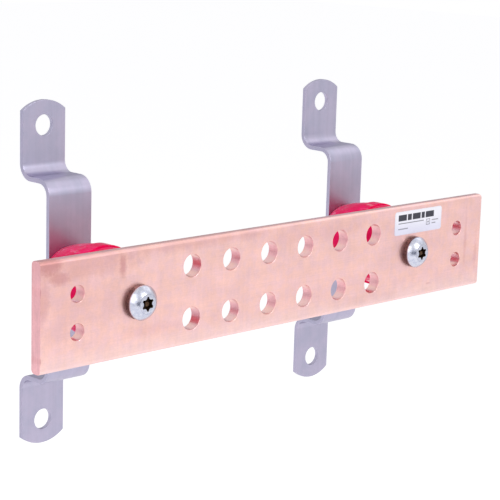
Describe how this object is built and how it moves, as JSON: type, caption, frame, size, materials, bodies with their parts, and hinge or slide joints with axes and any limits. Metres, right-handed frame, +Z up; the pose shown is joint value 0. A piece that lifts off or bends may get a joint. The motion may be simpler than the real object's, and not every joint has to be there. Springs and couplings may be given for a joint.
{
  "type": "rack grounding busbar",
  "caption": "Drilled copper grounding bar on two red stand-off insulators, each held by a folded wall bracket.",
  "frame": {"origin": "centre of the four wall holes, on the plane that the backs of the bracket feet rest on", "axes": "+X along the bar to the right as seen from the front, +Y into the wall, +Z up"},
  "size_m": [0.3048, 0.08, 0.1704],
  "materials": {
    "copper": "bare drawn copper, satin, lightly tarnished",
    "label_stock": "printed vinyl sticker",
    "plated_steel": "bright zinc plate",
    "spring_steel": "zinc-plated spring steel",
    "red_polyester": "glossy moulded polyester",
    "brass": "turned brass",
    "stainless": "satin rolled stainless strip"
  },
  "bodies": {
    "root": {"busbar": "copper", "label": "label_stock", "screw_front_left": "plated_steel", "screw_front_right": "plated_steel", "lock_washer_front_left": "spring_steel", "lock_washer_front_right": "spring_steel", "insulator_left": "red_polyester", "insulator_right": "red_polyester", "insert_front_left": "brass", "insert_front_right": "brass", "insert_back_left": "brass", "insert_back_right": "brass", "bracket_left": "stainless", "bracket_right": "stainless", "lock_washer_back_left": "spring_steel", "lock_washer_back_right": "spring_steel", "screw_back_left": "plated_steel", "screw_back_right": "plated_steel"}
  },
  "joints": []
}
